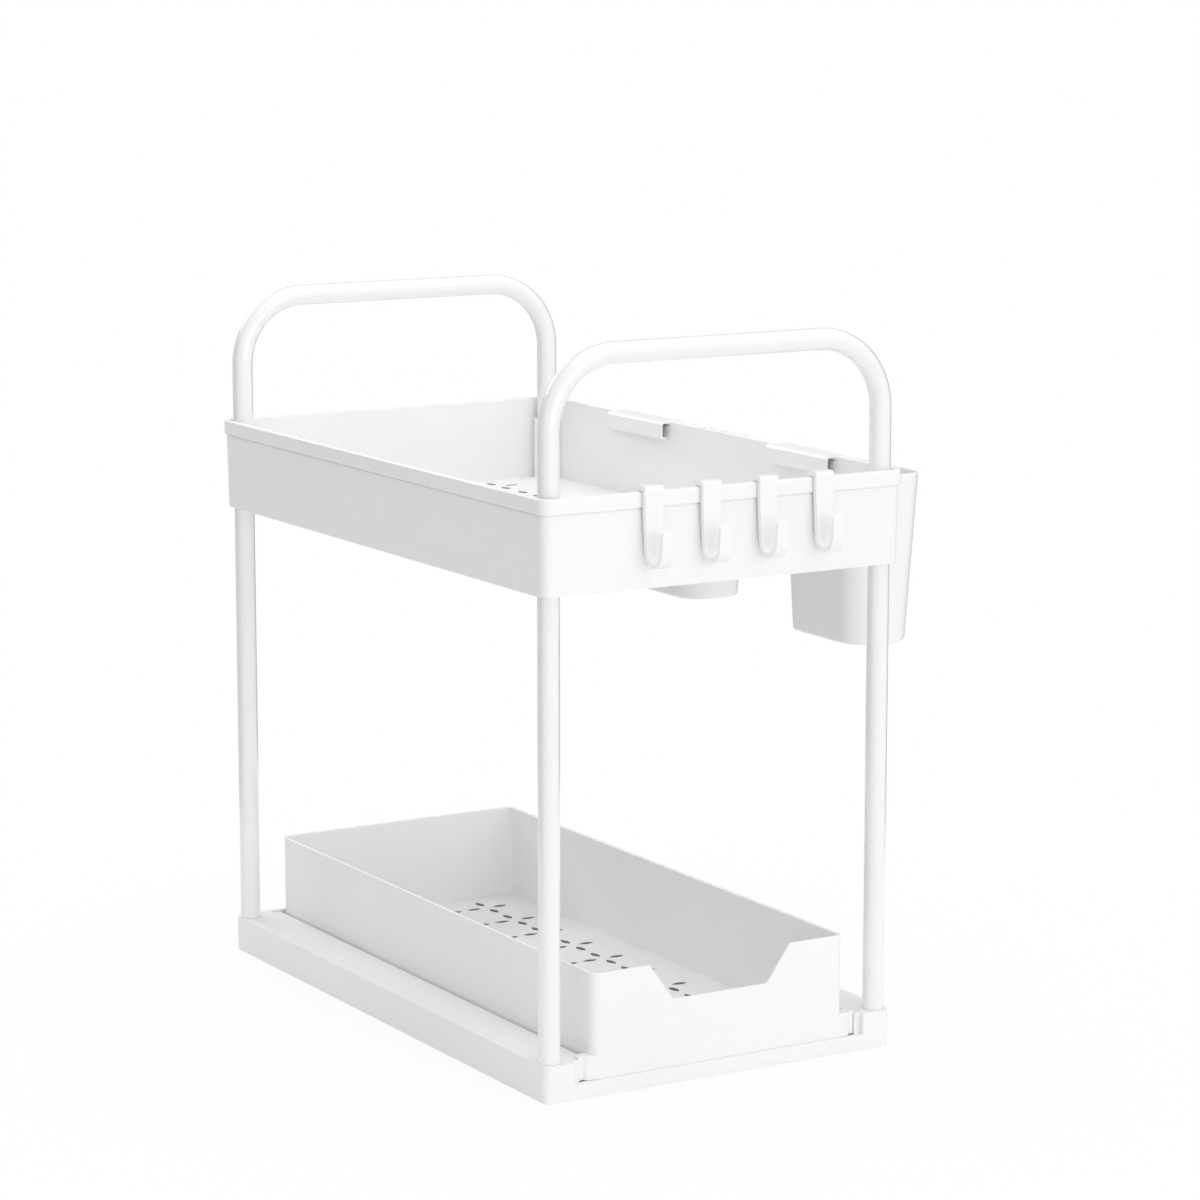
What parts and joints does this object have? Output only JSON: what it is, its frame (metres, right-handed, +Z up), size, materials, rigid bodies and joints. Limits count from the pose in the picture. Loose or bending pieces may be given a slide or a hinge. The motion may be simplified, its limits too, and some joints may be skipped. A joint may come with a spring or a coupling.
{
  "type": "under sink organizer",
  "caption": "Free-standing two tier organizer: a sliding drawer in a base, an open tray on tube posts, tube handles, rim hooks and hanging cups.",
  "frame": {"origin": "on the resting surface under the middle of the base's footprint", "axes": "+X to the right as seen from the front, +Y to the back, +Z up; the drawer opens towards -Y and the cups hang on the +X side"},
  "size_m": [0.2866, 0.4046, 0.4088],
  "materials": {
    "plastic": "fine matte grain",
    "tube": "white gloss powder coat",
    "pad": "soft matte"
  },
  "bodies": {
    "frame": {"base_tray": "plastic", "upper_tray": "plastic", "post_front_left": "tube", "post_front_right": "tube", "post_rear_left": "tube", "post_rear_right": "tube", "handle_front": "tube", "handle_rear": "tube", "foot_pad_front_left": "pad", "foot_pad_front_right": "pad", "foot_pad_rear_left": "pad", "foot_pad_rear_right": "pad"},
    "drawer_body": {"drawer": "plastic"},
    "hook_1_body": {"hook_1": "plastic"},
    "hook_2_body": {"hook_2": "plastic"},
    "hook_3_body": {"hook_3": "plastic"},
    "hook_4_body": {"hook_4": "plastic"},
    "cup_front_body": {"cup_front": "plastic"},
    "cup_rear_body": {"cup_rear": "plastic"}
  },
  "joints": [
    {"name": "drawer_slide", "type": "slide", "parent": "frame", "child": "drawer_body", "axis": [0, -1, 0], "range_m": [0, 0.185]},
    {"name": "hook_1_lift", "type": "slide", "parent": "frame", "child": "hook_1_body", "axis": [0, 0, 1], "range_m": [0, 0.015]},
    {"name": "hook_2_lift", "type": "slide", "parent": "frame", "child": "hook_2_body", "axis": [0, 0, 1], "range_m": [0, 0.015]},
    {"name": "hook_3_lift", "type": "slide", "parent": "frame", "child": "hook_3_body", "axis": [0, 0, 1], "range_m": [0, 0.015]},
    {"name": "hook_4_lift", "type": "slide", "parent": "frame", "child": "hook_4_body", "axis": [0, 0, 1], "range_m": [0, 0.015]},
    {"name": "cup_front_lift", "type": "slide", "parent": "frame", "child": "cup_front_body", "axis": [0, 0, 1], "range_m": [0, 0.016]},
    {"name": "cup_rear_lift", "type": "slide", "parent": "frame", "child": "cup_rear_body", "axis": [0, 0, 1], "range_m": [0, 0.016]}
  ]
}
